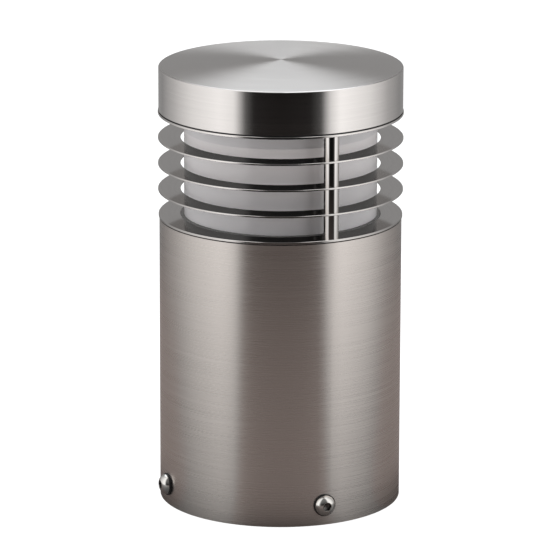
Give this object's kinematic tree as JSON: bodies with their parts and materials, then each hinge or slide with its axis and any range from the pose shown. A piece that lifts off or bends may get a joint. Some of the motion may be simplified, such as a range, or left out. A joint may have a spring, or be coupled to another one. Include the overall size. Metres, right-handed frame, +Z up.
{
  "type": "bollard light",
  "caption": "Short round stainless bollard light with a low domed drum cap, ring louvres round a frosted glass diffuser, and a tube body that lifts off a bolted base plate.",
  "frame": {"origin": "on the ground at the middle of the tube", "axes": "+Z up along the tube's axis, -Y is the front seen in use"},
  "size_m": [0.1664, 0.1664, 0.304],
  "materials": {
    "brushed_tube": "brushed round the tube, satin",
    "spun_cap": "fine spun brushing on top, near-mirror satin skirt",
    "louvre_steel": "satin sheet with bright cut edges",
    "polished_post": "polished stainless tube",
    "screw_steel": "polished stainless fastener",
    "base_sheet": "plain mill-finish stainless sheet",
    "inner_sheet": "plain stainless sheet",
    "zinc_sheet": "zinc-plated sheet",
    "black_rubber": "matte black rubber",
    "white_silicone": "translucent white silicone",
    "frosted_glass": "sand-frosted outside, opal",
    "white_enamel": "white baked enamel",
    "brass": "plain brass",
    "tinned_copper": "tin-plated copper",
    "nickel_shell": "nickel-plated shell",
    "porcelain": "white glazed porcelain",
    "black_glass": "black glass",
    "lamp_plastic": "white moulded plastic",
    "lamp_globe": "opal plastic globe",
    "grey_plastic": "moulded grey plastic",
    "white_plastic": "moulded white plastic",
    "black_plastic": "moulded black nylon",
    "brown_lead": "brown PVC",
    "blue_lead": "blue PVC",
    "green_yellow_lead": "green and yellow PVC"
  },
  "bodies": {
    "base": {"base_plate": "base_sheet", "lug_brackets": "base_sheet"},
    "light": {"body_tube": "brushed_tube", "tube_ring": "inner_sheet", "bulkhead_plate": "inner_sheet", "deck_gasket": "black_rubber", "deck_plate": "louvre_steel", "rod_spacers": "polished_post", "canopy_plate": "louvre_steel", "louvre_lower": "louvre_steel", "louvre_middle": "louvre_steel", "louvre_upper": "louvre_steel", "tie_bolts": "screw_steel", "tie_bolt_nuts": "screw_steel", "diffuser": "frosted_glass", "diffuser_seal_lower": "white_silicone", "diffuser_seal_upper": "white_silicone", "reflector_disc": "white_enamel", "cap": "spun_cap", "cap_seal": "black_rubber", "cap_stud": "screw_steel", "cap_stud_nut": "screw_steel", "nut_clips": "inner_sheet", "weld_nuts": "screw_steel", "holder_bracket": "zinc_sheet", "bracket_screws": "screw_steel", "bracket_nuts": "screw_steel", "holder_nipple": "brass", "nipple_nut": "brass", "lampholder_body": "porcelain", "lampholder_shell": "brass", "holder_live_contact": "brass", "holder_neutral_strap": "brass", "junction_box": "grey_plastic", "junction_box_lid": "grey_plastic", "lid_screws": "screw_steel", "terminal_block": "white_plastic", "terminal_screws": "brass", "gland_body": "black_plastic", "gland_locknut": "black_plastic", "gland_dome_nut": "black_plastic", "gland_sleeve": "black_rubber", "lead_live": "brown_lead", "lead_neutral": "blue_lead", "lead_earth": "green_yellow_lead", "earth_tag": "tinned_copper", "earth_screw": "brass"},
    "lamp": {"lamp_tip": "brass", "lamp_insulator": "black_glass", "lamp_thread": "nickel_shell", "lamp_housing": "lamp_plastic", "lamp_bulb": "lamp_globe"},
    "screw_1": {"side_screw_1": "screw_steel", "side_washer_1": "black_rubber"},
    "screw_2": {"side_screw_2": "screw_steel", "side_washer_2": "black_rubber"},
    "screw_3": {"side_screw_3": "screw_steel", "side_washer_3": "black_rubber"},
    "screw_4": {"side_screw_4": "screw_steel", "side_washer_4": "black_rubber"}
  },
  "joints": [
    {"name": "lift_off", "type": "slide", "parent": "base", "child": "light", "axis": [0, 0, 1], "range_m": [0, 0.06]},
    {"name": "lamp_unscrew", "type": "slide", "parent": "light", "child": "lamp", "axis": [0, 0, 1], "range_m": [0, 0.022]},
    {"name": "screw_1_out", "type": "slide", "parent": "light", "child": "screw_1", "axis": [0.3665, -0.9304, 0], "range_m": [0, 0.018]},
    {"name": "screw_2_out", "type": "slide", "parent": "light", "child": "screw_2", "axis": [0.9304, 0.3665, 0], "range_m": [0, 0.018]},
    {"name": "screw_3_out", "type": "slide", "parent": "light", "child": "screw_3", "axis": [-0.3665, 0.9304, 0], "range_m": [0, 0.018]},
    {"name": "screw_4_out", "type": "slide", "parent": "light", "child": "screw_4", "axis": [-0.9304, -0.3665, 0], "range_m": [0, 0.018]}
  ]
}
